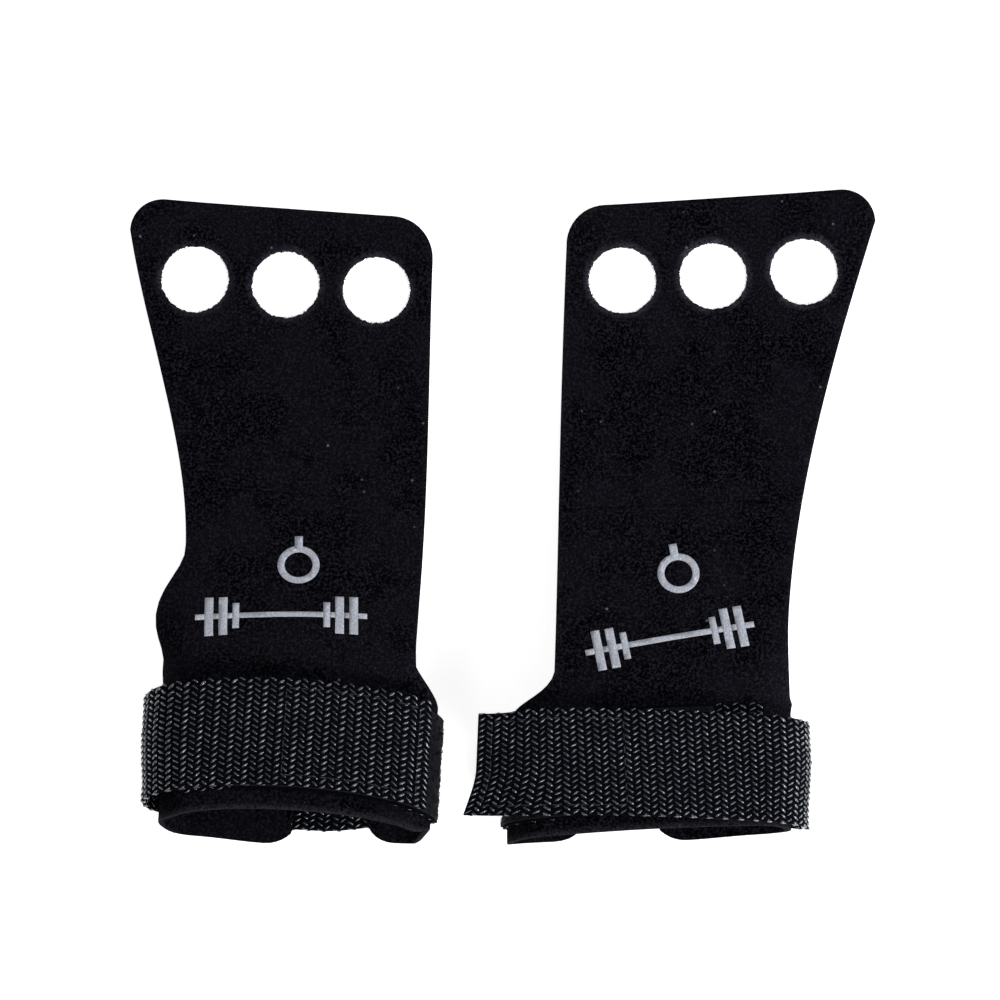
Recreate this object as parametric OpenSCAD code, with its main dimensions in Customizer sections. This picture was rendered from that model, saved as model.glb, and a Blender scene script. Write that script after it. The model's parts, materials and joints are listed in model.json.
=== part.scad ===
// A pair of three-hole leather hand grips with hook-and-loop wrist straps.
// Both grips lie on z = 0 with the fingers towards +Y. The origin is the middle of the
// pair on that surface. Each grip is built in its own frame: the middle of its cuff is
// the origin, +y runs to the fingers and -x is the flared side of the leather.

/* [Leather] */
// Thickness of the leather
leather_t = 2; // [1.4:0.1:2.6]
// Diameter of a finger hole
hole_d = 20.6; // [16:0.2:23]
// Distance between neighbouring finger holes
hole_pitch = 27.7; // [26:0.1:33]
// From an outer hole's centre to the leather's flared edge
flared_margin = 20.7; // [17:0.1:25]
// From an outer hole's centre to the leather's straight edge
straight_margin = 16.5; // [14:0.1:20]
// From the row of holes to the leather's top edge
top_margin = 23.8; // [18:0.1:29]
// From the row of holes to the fold under the fingers
fold_margin = 20.5; // [18:0.1:24]
// Radius of the two corners at the finger end
corner_r = 10; // [5:0.5:12]
// Height of the leather wings that wrap round the wrist
wing_h = 36; // [30:0.5:42]
// Length of the wing on the flared side, across the back of the cuff
flared_wing = 32; // [20:1:38]
// Length of the wing on the straight side, across the back of the cuff
straight_wing = 8; // [4:1:14]

/* [Strap] */
// Width of the webbing
web_w = 32; // [25:0.5:38]
// Thickness of the webbing
web_t = 1.5; // [1:0.1:2]
// Thickness of the hook tape and of the loop tape
tape_t = 1; // [0.6:0.1:1.4]
// Webbing left bare along each edge of a tape
tape_edge = 1; // [0.5:0.1:3]
// Length of hook tape on the free end of the strap
hook_len = 42; // [30:1:46]
// Free end of the strap past the end of its hook tape
tail_tip = 3; // [2:0.5:6]

/* [Cuff] */
// Distance between the middles of the two side folds
fold_gap = 59.2; // [50:0.2:70]
// Inside radius of the side folds
fold_r = 9.5; // [7:0.1:12]

/* [Left grip] */
// Turn of the left grip on the table, anticlockwise
left_turn = -3.5; // [-8:0.1:8]
// From the crease above the strap to the row of finger holes
left_reach = 120.4; // [105:0.1:140]
// Sideways place of the middle finger hole
left_shift = -11.7; // [-16:0.1:-6]
// How far the flared edge bulges out beside the wrist
left_bulge = 6.3; // [0:0.1:9]
// How far the front of the cuff has slid forwards of its back
left_lean = 8; // [0:0.5:10]
// Leather that shows below the strap
left_hem = 6.5; // [2:0.5:9]

/* [Right grip] */
// Turn of the right grip on the table, anticlockwise
right_turn = 2.8; // [-8:0.1:8]
// From the crease above the strap to the row of finger holes
right_reach = 130; // [105:0.1:140]
// Sideways place of the middle finger hole, away from the straight side
right_shift = -26; // [-30:0.1:-18]
// How far the flared edge bulges out beside the wrist
right_bulge = 0; // [0:0.1:9]
// How far the front of the cuff has slid forwards of its back
right_lean = 2; // [0:0.5:10]
// Leather that shows below the strap
right_hem = 3.5; // [2:0.5:9]

/* [Print and stitches] */
// Outer diameter of the ring in the printed emblem
ring_d = 12.6; // [9:0.1:16]
// Length of the bar in the printed emblem
bar_len = 51; // [36:1:56]
// Length of one stitch
stitch_len = 2.4; // [1.6:0.1:3]
// Distance from one stitch to the next
stitch_pitch = 3.4; // [3.2:0.1:5]

/* [Hidden] */
$fn = 96;

leather_color = "#17171b";
webbing_color = "#20242c";
tape_color = "#121316";
thread_color = "#2c3038";
ink_color = "#b9bcc2";

joint_gap = 0.3;      // clearance between pieces that hinge on each other
touch_play = 0.3;     // clearance between the closed hook tape and loop tape
crease_gap = 4;       // from the strap's front edge to the crease of the palm
ink_t = 0.12;         // thickness of the print
stitch_w = 0.55;      // width of the thread
stitch_proud = 0.2;   // thread standing above the fabric
stitch_sunk = 0.3;    // thread sunk into the fabric
stitch_inset = 2.2;   // from a tape's edge to its row of stitches

// Faces of the layers, counted outwards from the inside of the leather.
t_band = leather_t;
t_loop = t_band + web_t;
t_hook = t_loop + tape_t + touch_play;
t_tail = t_hook + tape_t;
t_out = t_tail + web_t;

half_gap = fold_gap / 2;
mid_z = web_t + leather_t + fold_r;      // height of the folds' middles
step_out = t_tail - t_band;              // the strap climbs this much in one turn
hinge_z = mid_z + step_out;              // height of the strap's hinge line
hinge_x = -half_gap - fold_r - t_out;    // the strap's hinge line, at the outside of the fold
front_y = -web_w / 2 + 1;                // the strap's lower edge on the front of the cuff
crease_y = front_y + web_w + crease_gap;
crease_z = mid_z + fold_r + leather_t / 2;
cuff_h = mid_z + fold_r + t_out;         // height of the cuff over the surface it lies on
reach_past = 60;                         // long enough for any cutting shape to clear the cuff

// Settings of one grip, in the order that the functions below read them.
left = [left_turn, left_reach, left_shift, left_bulge, left_lean, left_hem];
right = [right_turn, right_reach, right_shift, right_bulge, right_lean, right_hem];
function turn(g) = g[0];
function row_y(g) = crease_y + g[1];
function row_x(g) = g[2];
function bulge(g) = g[3];
function lean(g) = g[4];
function hem(g) = g[5];
function is_left(g) = g == left;

// What only shows in the way the two grips lie: [left, right].
function pick(g, a, b) = is_left(g) ? a : b;
// Sideways pull of the flared edge at a third and at two thirds of its length, and of the
// straight edge, from the straight line between its ends.
function flared_pull(g) = pick(g, [22.1, 3.2], [10.6, 5.7]);
function straight_pull(g) = pick(g, [3.4, 0.4], [-0.2, 0.7]);
function root_straight(g) = half_gap + pick(g, 5, -0.1);
function tail_end(g) = pick(g, half_gap + 12.2, half_gap + 23.5);
function tail_wraps(g) = is_left(g);
function ring_place(g) = pick(g, [-1.3, 33], [-9.8, 38]);
function bar_place(g) = pick(g, [-5.2, 15.4], [-6, 17.3]);
function bar_tilt(g) = pick(g, 3.6, -7.7);

wing_corner_r = 6;
band_start = -half_gap - 3;         // where the webbing is first sewn to the leather
loop_start = -half_gap + 12;
loop_drop = 7;                      // the loop tape ends this far below the folds' middles
// The emblem's weights on each end of the bar: from its end, height, width.
emblem_plates = [[4, 13, 2.6], [8.2, 13, 2.6], [12, 8.8, 2]];
emblem_bar_h = 1.8;
emblem_ring_w = 2.1;
emblem_strap = [2.4, 4.2];          // width and height of the strap above the ring

function level(t) = mid_z + fold_r + t;
function mix(a, b, s) = a + (b - a) * s;
function arc(c, r, a0, a1, n) = [for (i = [0:n]) c + r * [cos(mix(a0, a1, i / n)), sin(mix(a0, a1, i / n))]];

// Side positions of the leather at its finger end.
function flared_x(g) = row_x(g) - hole_pitch - flared_margin;
function straight_x(g) = row_x(g) + hole_pitch + straight_margin;
function top_y(g) = row_y(g) + top_margin;
function fold_y(g) = row_y(g) - fold_margin;
function back_y(g) = front_y - lean(g) - hem(g);
// The grips move apart as their cuffs get wider, and each stays midway along y but for a nudge.
side_room = [32.6, 16.8];
nudge = [1.75, 0.05];
function place(g) = [
    pick(g, -half_gap - side_room[0], half_gap + side_room[1]),
    -(top_y(g) + back_y(g)) / 2 - pick(g, nudge[0], nudge[1])
];
// Slope of the palm from the crease down to the fold under the fingers.
function slope(g) = atan((crease_z - leather_t / 2) / (fold_y(g) - crease_y));

// A long edge of the leather: a cubic from the crease to the corner at the finger end.
function edge_x(x0, x3, pull, s) =
    mix(x0, x3, s) + 3 * s * (1 - s) * (pull[0] * (1 - s) + pull[1] * s);
bulge_h = 36;                       // the bulge reaches this far above the crease
function bulge_x(g, y) = y > bulge_h ? 0 : bulge(g) * pow(sin(180 * y / bulge_h), 2);
function flared_edge(g, n = 28) =
    let (x0 = -half_gap - fold_r - leather_t / 2, run = top_y(g) - corner_r - crease_y)
    [for (i = [0:n]) let (s = i / n)
        [edge_x(x0, flared_x(g), flared_pull(g), s) - bulge_x(g, s * run), crease_y + s * run]];
function straight_edge(g, n = 14) =
    let (run = top_y(g) - corner_r - crease_y)
    [for (i = [0:n]) let (s = i / n)
        [edge_x(root_straight(g), straight_x(g), straight_pull(g), s), crease_y + s * run]];
function reversed(list) = [for (i = [len(list) - 1:-1:0]) list[i]];

// The flat outline of the leather above the crease, rounded at the finger end.
module hand_outline(g) {
    flared = flared_edge(g);
    straight = straight_edge(g);
    corner_y = top_y(g) - corner_r;
    polygon(concat(
        [[flared[0].x, crease_y - leather_t]], flared,
        arc([flared_x(g) + corner_r, corner_y], corner_r, 170, 90, 8),
        arc([straight_x(g) - corner_r, corner_y], corner_r, 90, 10, 8),
        reversed(straight), [[straight[0].x, crease_y - leather_t]]
    ));
}

// Extrudes a profile drawn in x and z along y, from y0 to y1.
module along_y(y0, y1) translate([0, y1, 0]) rotate([90, 0, 0]) linear_extrude(y1 - y0) children();
// Extrudes a side view drawn in y and z along x, right across the grip.
module across_x()
    translate([-2 * reach_past, 0, 0]) rotate([90, 0, 90]) linear_extrude(4 * reach_past) children();
// Puts a piece of one grip where that grip lies.
module lay(g) {
    translate([place(g).x, place(g).y, 0]) rotate([0, 0, turn(g)])
        if (is_left(g)) children();
        else mirror([1, 0, 0]) children();
}

// A flat run of a layer on the front of the cuff, from xa to xb.
module run_over(xa, xb, t0, t1) translate([xa, level(t0)]) square([xb - xa, t1 - t0]);
// A flat run of a layer under the cuff.
module run_under(xa, xb, t0, t1) translate([xa, 2 * mid_z - level(t1)]) square([xb - xa, t1 - t0]);
// A layer bent round a fold, between two angles.
module bend(cx, cz, r0, r1, a0, a1) translate([cx, cz]) intersection() {
    difference() {
        circle(r1);
        circle(r0);
    }
    polygon(concat([[0, 0]], arc([0, 0], 2 * r1, a0, a1, 4)));
}

// Side view of the strap: its front slides forwards of its back by the cuff's lean.
module strap_side(g, edge = 0) across_x() polygon([
    [front_y - lean(g) + edge, 0], [front_y - lean(g) + web_w - edge, 0],
    [front_y + web_w - edge, cuff_h], [front_y + edge, cuff_h]
]);
// Side view of the leather round the wrist.
module wrist_side(g) {
    across_x() polygon([
        [back_y(g), 0], [back_y(g) + wing_h, 0], [crease_y - leather_t / 2 - joint_gap, level(0)],
        [crease_y - leather_t / 2 - joint_gap, cuff_h], [front_y - hem(g), cuff_h]
    ]);
}

module finger_leather(g) color(leather_color) {
    difference() {
        intersection() {
            linear_extrude(leather_t) hand_outline(g);
            across_x() union() {
                translate([fold_y(g), leather_t / 2]) circle(leather_t / 2);
                translate([fold_y(g), 0]) square([top_margin + fold_margin + 1, leather_t]);
            }
        }
        for (i = [-1:1])
            translate([row_x(g) + i * hole_pitch, row_y(g), -1]) cylinder(h = leather_t + 2, d = hole_d);
    }
}

// The palm slopes from the crease above the strap down to the fold under the fingers.
module palm_leather(g) color(leather_color) {
    run = (fold_y(g) - crease_y) / cos(slope(g)) - leather_t / 2 - joint_gap;
    intersection() {
        linear_extrude(cuff_h) hand_outline(g);
        across_x() translate([crease_y, crease_z]) rotate(-slope(g)) union() {
            circle(leather_t / 2);
            translate([0, -leather_t / 2]) square([run, leather_t]);
        }
    }
}

// A wing across the back of the cuff, from its fold to a rounded end.
module wing(g, x_fold, x_end) {
    y0 = back_y(g);
    r = wing_corner_r;
    dir = sign(x_end - x_fold);
    translate([0, 0, 2 * mid_z - level(leather_t)]) linear_extrude(leather_t) polygon(concat(
        [[x_fold, y0]],
        arc([x_end - dir * r, y0 + r], r, -90, dir > 0 ? 0 : -180, 8),
        [[x_end, y0 + wing_h], [x_fold, y0 + wing_h]]
    ));
}

module wrist_leather(g) color(leather_color) {
    intersection() {
        along_y(-reach_past, reach_past) union() {
            run_over(-half_gap, half_gap, 0, leather_t);
            bend(-half_gap, mid_z, fold_r, fold_r + leather_t, 90, 270);
            bend(half_gap, mid_z, fold_r, fold_r + leather_t, -90, 90);
        }
        wrist_side(g);
    }
    intersection() {
        union() {
            wing(g, -half_gap, -half_gap + flared_wing);
            wing(g, half_gap, half_gap - straight_wing);
        }
        wrist_side(g);
    }
}

// Webbing sewn to the front, round the straight side, across the back and half way up
// the flared side, where the free end of the strap hinges on.
module strap_band(g) color(webbing_color) {
    side_r = fold_r + t_band + step_out;
    intersection() {
        along_y(-reach_past, reach_past) difference() {
            union() {
                run_over(band_start, half_gap, t_band, t_loop);
                bend(half_gap, mid_z, fold_r + t_band, fold_r + t_loop, -90, 90);
                run_under(-half_gap, half_gap, t_band, t_loop);
                bend(-half_gap, hinge_z, side_r, side_r + web_t, 180, 270);
            }
            translate([hinge_x - 1, hinge_z - joint_gap / 2]) square([web_t + 2, joint_gap]);
        }
        strap_side(g);
    }
}

// Profile of the layers on the free end, from the given place to the end of the strap.
module tail_profile(g, x_end, t0, t1) {
    run_over(-half_gap - step_out, tail_wraps(g) ? half_gap : x_end, t0, t1);
    if (tail_wraps(g)) intersection() {
        bend(half_gap, mid_z, fold_r + t0, fold_r + t1, 0, 90);
        translate([half_gap, 0]) square([x_end - half_gap, cuff_h]);
    }
}

module strap_tail(g) color(webbing_color) {
    side_r = fold_r + t_tail - step_out;
    intersection() {
        along_y(-reach_past, reach_past) difference() {
            union() {
                tail_profile(g, tail_end(g), t_tail, t_out);
                bend(-half_gap - step_out, hinge_z, side_r, side_r + web_t, 90, 180);
            }
            translate([hinge_x - 1, hinge_z - 1]) square([web_t + 2, 1 + joint_gap / 2]);
        }
        strap_side(g);
    }
}

module hook_tape(g) color(tape_color) {
    x_end = tail_end(g) - tail_tip;
    intersection() {
        along_y(-reach_past, reach_past) intersection() {
            tail_profile(g, x_end, t_hook, t_tail);
            translate([x_end - hook_len, 0]) square([hook_len, cuff_h]);
        }
        strap_side(g, tape_edge);
    }
}

module loop_tape(g) color(tape_color) {
    intersection() {
        along_y(-reach_past, reach_past) union() {
            run_over(loop_start, half_gap, t_loop, t_loop + tape_t);
            intersection() {
                bend(half_gap, mid_z, fold_r + t_loop, fold_r + t_loop + tape_t, -60, 90);
                translate([0, mid_z - loop_drop]) square(reach_past);
            }
        }
        strap_side(g, tape_edge);
    }
}

// One stitch along x on a face that is t outside the leather, and one along y.
module stitch_x(x, y, t) translate([x, y - stitch_w / 2, level(t) - stitch_sunk])
    cube([stitch_len, stitch_w, stitch_sunk + stitch_proud]);
module stitch_y(x, y, t) translate([x - stitch_w / 2, y, level(t) - stitch_sunk])
    cube([stitch_w, stitch_len, stitch_sunk + stitch_proud]);

// A frame of stitches between two places along x, inset from the strap's edges.
module stitch_frame(g, x0, x1, t, inset) {
    y0 = front_y - lean(g) * (1 - level(t) / cuff_h) + inset;
    y1 = y0 + web_w - 2 * inset;
    nx = floor((x1 - x0) / stitch_pitch);
    ny = floor((y1 - y0 - stitch_pitch) / stitch_pitch);
    for (i = [0:nx - 1], y = [y0, y1]) stitch_x(x0 + i * (x1 - x0) / nx, y, t);
    for (i = [0:ny - 1], x = [x0, x1 - (stitch_pitch - stitch_len)])
        stitch_y(x, mix(y0 + stitch_pitch / 2, y1 - stitch_pitch / 2, (i + 0.15) / ny), t);
}

module anchor_stitching(g) color(thread_color)
    stitch_frame(g, band_start + 2 * stitch_w, loop_start - stitch_w, t_loop, tape_edge + stitch_inset);
// These stitches are pulled down level with the loop tape's face.
module loop_stitching(g) color(thread_color) {
    face = t_loop + tape_t - stitch_proud;
    stitch_frame(g, loop_start + 2 * stitch_w, half_gap, face, tape_edge + stitch_inset);
}
module hook_stitching(g) color(thread_color) {
    tape_end = tail_end(g) - tail_tip;
    x_end = tail_wraps(g) ? half_gap : tape_end;
    stitch_frame(g, tape_end - hook_len + stitch_w, x_end - stitch_w, t_out, tape_edge + stitch_inset);
}

// A plain gymnastic ring over a plain barbell, printed on the palm.
module ring_print() {
    difference() {
        circle(d = ring_d);
        circle(d = ring_d - 2 * emblem_ring_w);
    }
    translate([-emblem_strap.x / 2, (ring_d - emblem_ring_w) / 2]) square(emblem_strap);
}
module bar_print() {
    square([bar_len, emblem_bar_h], center = true);
    for (s = [-1, 1], p = emblem_plates)
        translate([s * (bar_len / 2 - p[0]), 0]) square([p[2], p[1]], center = true);
}
module printed_emblem(g) color(ink_color)
    translate([0, crease_y, crease_z]) rotate([-slope(g), 0, 0])
        translate([0, 0, leather_t / 2]) linear_extrude(ink_t) {
            translate(ring_place(g)) rotate(bar_tilt(g)) ring_print();
            translate(bar_place(g)) rotate(bar_tilt(g)) bar_print();
        }

lay(left) finger_leather(left);  // left_finger_leather
lay(left) palm_leather(left);  // left_palm_leather
lay(left) wrist_leather(left);  // left_wrist_leather
lay(left) strap_band(left);  // left_strap_band
lay(left) strap_tail(left);  // left_strap_tail
lay(left) loop_tape(left);  // left_loop_tape
lay(left) hook_tape(left);  // left_hook_tape
lay(left) anchor_stitching(left);  // left_anchor_stitching
lay(left) loop_stitching(left);  // left_loop_stitching
lay(left) hook_stitching(left);  // left_hook_stitching
lay(left) printed_emblem(left);  // left_printed_emblem
lay(right) finger_leather(right);  // right_finger_leather
lay(right) palm_leather(right);  // right_palm_leather
lay(right) wrist_leather(right);  // right_wrist_leather
lay(right) strap_band(right);  // right_strap_band
lay(right) strap_tail(right);  // right_strap_tail
lay(right) loop_tape(right);  // right_loop_tape
lay(right) hook_tape(right);  // right_hook_tape
lay(right) anchor_stitching(right);  // right_anchor_stitching
lay(right) loop_stitching(right);  // right_loop_stitching
lay(right) hook_stitching(right);  // right_hook_stitching
lay(right) printed_emblem(right);  // right_printed_emblem
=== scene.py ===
# A pair of three-hole suede hand grips with woven hook-and-loop wrist straps, lying palm up.
# Shapes are made in millimetres in each grip's own frame: the middle of its cuff is the origin,
# +y runs to the fingers and -x is the flared side. The right grip is mirrored before it is turned.
import json
import random
from math import asin, atan, copysign, cos, hypot, pi, radians, sin

import bmesh
import bpy
from mathutils import Matrix, Vector, noise
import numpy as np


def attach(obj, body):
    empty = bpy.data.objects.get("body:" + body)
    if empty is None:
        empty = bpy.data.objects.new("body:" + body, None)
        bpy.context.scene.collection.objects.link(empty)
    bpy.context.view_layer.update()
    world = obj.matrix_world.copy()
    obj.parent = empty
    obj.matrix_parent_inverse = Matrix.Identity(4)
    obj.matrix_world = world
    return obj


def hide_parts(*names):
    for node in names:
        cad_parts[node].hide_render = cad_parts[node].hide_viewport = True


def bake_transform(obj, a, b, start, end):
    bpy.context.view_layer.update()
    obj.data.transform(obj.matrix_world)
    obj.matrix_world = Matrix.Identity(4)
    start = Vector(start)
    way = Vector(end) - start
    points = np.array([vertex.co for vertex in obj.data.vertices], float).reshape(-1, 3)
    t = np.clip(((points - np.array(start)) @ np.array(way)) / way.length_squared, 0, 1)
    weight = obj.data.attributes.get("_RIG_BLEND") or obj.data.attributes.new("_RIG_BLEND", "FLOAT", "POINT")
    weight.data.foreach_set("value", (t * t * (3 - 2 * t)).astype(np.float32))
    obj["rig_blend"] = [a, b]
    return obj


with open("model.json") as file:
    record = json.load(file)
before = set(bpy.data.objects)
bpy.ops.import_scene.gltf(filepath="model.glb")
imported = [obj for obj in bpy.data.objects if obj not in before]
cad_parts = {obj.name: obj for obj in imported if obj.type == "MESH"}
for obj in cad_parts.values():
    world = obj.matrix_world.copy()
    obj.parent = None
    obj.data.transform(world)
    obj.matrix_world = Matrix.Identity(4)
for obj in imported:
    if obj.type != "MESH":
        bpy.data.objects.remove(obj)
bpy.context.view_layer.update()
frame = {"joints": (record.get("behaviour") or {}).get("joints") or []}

shot = {"tilt": 8, "place": (0.0, -0.2026, 1.4854), "lens": 178.2}
cameraData = bpy.data.cameras.new("camera")
cameraData.lens = shot["lens"]
cameraData.sensor_width = 36
camera = bpy.data.objects.new("camera", cameraData)
camera.location = shot["place"]
camera.rotation_euler = (radians(shot["tilt"]), 0, 0)
bpy.context.scene.collection.objects.link(camera)
bpy.context.scene.camera = camera
bpy.context.scene.view_settings.view_transform = "Standard"

cuff = {"halfGap": 29.6, "foldR": 9.5, "leather": 2.0, "web": 1.5, "tape": 1.0, "play": 0.3}
strap = {"width": 32.0, "front": -15.0, "bandStart": -32.6, "loopStart": -17.6, "loopDrop": 7.0,
         "hookLength": 42.0, "tailTip": 3.0, "tapeEdge": 1.0}
hand = {"holeD": 20.6, "holePitch": 27.7, "flaredMargin": 20.7, "straightMargin": 16.5,
        "topMargin": 23.8, "foldMargin": 20.5, "wingHeight": 36.0,
        "flaredWing": 32.0, "straightWing": 8.0, "wingCorner": 8.5, "flaredWingCorner": 11.0,
        "bulgeHeight": 36.0}
# A corner is given as its radius, how far it moves sideways and how far it moves up.
# The ring round the holes is pressed down and painted lighter: crushed nap, partly a painted sheen. The cut
# edges are painted lighter: a fibrous cut edge, partly painted light on the lit edges.
grips = {
    "left": {"mirror": False, "reach": 120.4, "shift": -11.7, "bulge": 6.3, "lean": 8.0, "hem": 6.5,
             "flaredPull": (22.1, 3.2), "straightPull": (3.4, 0.4), "straightRoot": 34.6,
             "flaredCurl": (16, 46), "straightCurl": (14, 34), "flareTop": 24.0, "flarePull": 5.0,
             "tailEnd": 39.6, "tailWraps": True, "arch": 3.0, "crown": 2.6, "droop": 1.0,
             "backLift": 2.6, "flaredLift": 1.0, "cornerRise": (1.6, 8.0), "cuffShift": 1.8,
             "straightFlare": 0.0, "flaredTuck": 1.2, "endSkew": 0.0, "tailPinch": 0.0, "tailDrop": 0.0,
             "strapShift": -1.6, "tailSlope": 0.0, "tailPivot": 0.0,
             "flaredCorner": (10.0, 0.0, 0.0), "straightCorner": (13.0, 0.0, -0.8),
             "ring": (-1.3, 33.0), "bar": (-5.2, 15.4), "barTilt": 3.6,
             "cut": 76.0, "ringPressAndSheen": 0.6, "rimFrayAndLight": 0.15, "seed": 3},
    "right": {"mirror": True, "reach": 130.0, "shift": -26.0, "bulge": 0.0, "lean": 2.0, "hem": 3.5,
              "flaredPull": (10.6, 5.7), "straightPull": (-0.2, 0.7), "straightRoot": 29.5,
              "flaredCurl": (14, 30), "straightCurl": (16, 34), "flareTop": 29.5, "flarePull": 9.0,
              "tailEnd": 53.3, "tailWraps": False, "arch": 0.8, "crown": 2.0, "droop": 0.0,
              "backLift": 1.6, "flaredLift": 0.7, "cornerRise": (0.0, 0.0), "cuffShift": 0.0,
              "straightFlare": 4.4, "flaredTuck": 1.8, "endSkew": 0.085, "tailPinch": 1.6, "tailDrop": 1.0,
              "strapShift": 0.7, "tailSlope": 0.0775, "tailPivot": 8.0,
              "flaredCorner": (10.2, -1.8, 0.8), "straightCorner": (12.2, 0.0, -0.4),
              "ring": (-9.8, 38.0), "bar": (-6.0, 17.3), "barTilt": -7.7,
              "cut": 80.0, "ringPressAndSheen": 1.0, "rimFrayAndLight": 0.3, "seed": 7},
}
halfGap = cuff["halfGap"]
midR = cuff["foldR"] + cuff["leather"] / 2
midZ = cuff["web"] + cuff["leather"] + cuff["foldR"]
bandT = cuff["leather"] + cuff["web"] / 2              # heights of the layers' middles over the
loopT = bandT + (cuff["web"] + cuff["tape"]) / 2       # inside of the leather
hookT = loopT + cuff["tape"] + cuff["play"]
tailT = hookT + (cuff["tape"] + cuff["web"]) / 2
stepOut = tailT - bandT
cuffHeight = midZ + cuff["foldR"] + tailT + cuff["web"] / 2
hingeX = -halfGap - cuff["foldR"] - tailT - cuff["web"] / 2
hingeZ = midZ + stepOut
frontZ = midZ + midR
creaseY = strap["front"] + strap["width"] + 4
mm = 0.001


def smooth(t):
    t = min(max(t, 0), 1)
    return t * t * (3 - 2 * t)


def mix(a, b, t):
    return a + (b - a) * t


# Rises from 0 to 1 over a span, given as where it starts and how far it runs.
def ramp(value, span):
    return smooth((value - span[0]) / span[1])


# What follows from a grip's settings, and where the frame holds it.
joints = {joint["name"]: joint for joint in frame["joints"]}
for side, grip in grips.items():
    grip["side"] = side
    grip["rowY"] = creaseY + grip["reach"]
    grip["topY"] = grip["rowY"] + hand["topMargin"]
    grip["foldY"] = grip["rowY"] - hand["foldMargin"]
    grip["backY"] = strap["front"] - grip["lean"] - grip["hem"]
    outerHole = {"flared": grip["shift"] - hand["holePitch"], "straight": grip["shift"] + hand["holePitch"]}
    grip["flaredX"] = outerHole["flared"] - hand["flaredMargin"] + grip["flaredCorner"][1]
    grip["straightX"] = outerHole["straight"] + hand["straightMargin"] + grip["straightCorner"][1]
    grip["slope"] = (frontZ - cuff["leather"] / 2) / (grip["foldY"] - creaseY)
    fold = joints[side + "_palm_fold"]
    along = Vector(fold["axis"])
    up = Vector((0, 0, 1))
    forward = up.cross(along)
    origin = Vector(fold["pos_m"]) - forward * creaseY * mm - up * frontZ * mm
    across = -along if grip["mirror"] else along
    turn = Matrix((across, forward, up)).transposed().to_4x4()
    grip["matrix"] = Matrix.Translation(origin) @ turn @ Matrix.Scale(mm, 4)


def spot(grip, x, y, z):
    return tuple(grip["matrix"] @ Vector((x, y, z)))


# The spans over which a worn cuff leaves the shape of a flat tube.
wear = {"bellHalf": 52, "frontFade": (17, 60), "cuffEnd": (10, 16), "shiftEnd": (12, 20), "droop": (16, 24),
        "lift": (8, 22), "lower": (2, -20), "hem": (-20, -9), "hemCorner": (36, 7), "flare": (24, 18)}


# The worn cuff isn't a flat tube: its front is crowned and arched, and its folds hang back.
def settle(grip, x, y, z):
    away = abs(x)
    rise = smooth((z - midZ) / midR)
    bell = max(0, 1 - (x / wear["bellHalf"]) ** 2) ** 2
    fade = 1 - ramp(y, wear["frontFade"])
    onCuff = 1 - ramp(y, wear["cuffEnd"])
    lift = grip["backLift"] if x > 0 else grip["flaredLift"]
    moved = lift * (1 - smooth(z / midZ)) * ramp(away, wear["lift"])
    moved -= grip["droop"] * rise * (ramp(away, wear["droop"]) * onCuff)
    moved += grip["cornerRise"][x > 0] * ramp(y, wear["hem"]) * ramp(away, wear["hemCorner"])
    flare = grip["straightFlare"] if x > 0 else grip["flaredTuck"]
    shift = grip["cuffShift"] * (1 - ramp(y, wear["shiftEnd"]))
    shift += flare * (ramp(y, wear["lower"]) * onCuff) * ramp(away, wear["flare"])
    return Vector((x + shift, y + grip["arch"] * bell * rise * fade + moved * onCuff,
                   z + grip["crown"] * bell * rise * fade))


def finishPiece(grip, name, bm, material):
    bmesh.ops.transform(bm, matrix=grip["matrix"], verts=bm.verts)
    if grip["mirror"]:
        bmesh.ops.reverse_faces(bm, faces=bm.faces)
    bm.normal_update()
    mesh = bpy.data.meshes.new(name)
    bm.to_mesh(mesh)
    bm.free()
    mesh.materials.append(material)
    mesh.polygons.foreach_set("use_smooth", [True] * len(mesh.polygons))
    piece = bpy.data.objects.new(name, mesh)
    bpy.context.scene.collection.objects.link(piece)
    return piece


def storeFlat(bm, scale=0.01):
    uvLayer = bm.loops.layers.uv.verify()
    for face in bm.faces:
        for loop in face.loops:
            loop[uvLayer].uv = (loop.vert.co.x * scale, loop.vert.co.y * scale)


# Moves every vertex of a flat mesh, at (s, v, h), to its place on a strap or a sheet.
def bendOn(bm, place):
    for vert in bm.verts:
        vert.co = place(*vert.co)


def meshOf(bm, name):
    mesh = bpy.data.meshes.new(name)
    bm.to_mesh(mesh)
    bm.free()
    return mesh


# Copies of one small mesh, each moved by its own matrix, in one bmesh.
def scatter(unit, matrices):
    bm = bmesh.new()
    for matrix in matrices:
        unit.transform(matrix)
        bm.from_mesh(unit)
        unit.transform(matrix.inverted())
    return bm


def softenRims(bm, width, segments, keep=None):
    bm.normal_update()
    rims = [e for e in bm.edges if len(e.link_faces) == 2 and e.calc_face_angle(0) > radians(60)
            and not (keep and keep(e))]
    bmesh.ops.bevel(bm, geom=rims, offset=width, offset_type="OFFSET", segments=segments,
                    profile=0.5, affect="EDGES", material=-1, clamp_overlap=True)


def addNode(tree, kind, **settings):
    node = tree.nodes.new(kind)
    for key, value in settings.items():
        if key in node.inputs.keys():
            node.inputs[key].default_value = value
        else:
            setattr(node, key, value)
    return node


def newGroup(name, inputs, outputs):
    group = bpy.data.node_groups.new(name, "ShaderNodeTree")
    for socket, value in inputs.items():
        made = group.interface.new_socket(socket, in_out="INPUT", socket_type="NodeSocketFloat")
        made.default_value = value
    for socket in outputs:
        group.interface.new_socket(socket, in_out="OUTPUT", socket_type="NodeSocketFloat")
    return group, addNode(group, "NodeGroupInput"), addNode(group, "NodeGroupOutput")


def mathNode(tree, operation, a, b):
    node = addNode(tree, "ShaderNodeMath", operation=operation)
    for index, value in enumerate((a, b)):
        if isinstance(value, (int, float)):
            node.inputs[index].default_value = value
        else:
            tree.links.new(value, node.inputs[index])
    return node.outputs[0]


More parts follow.
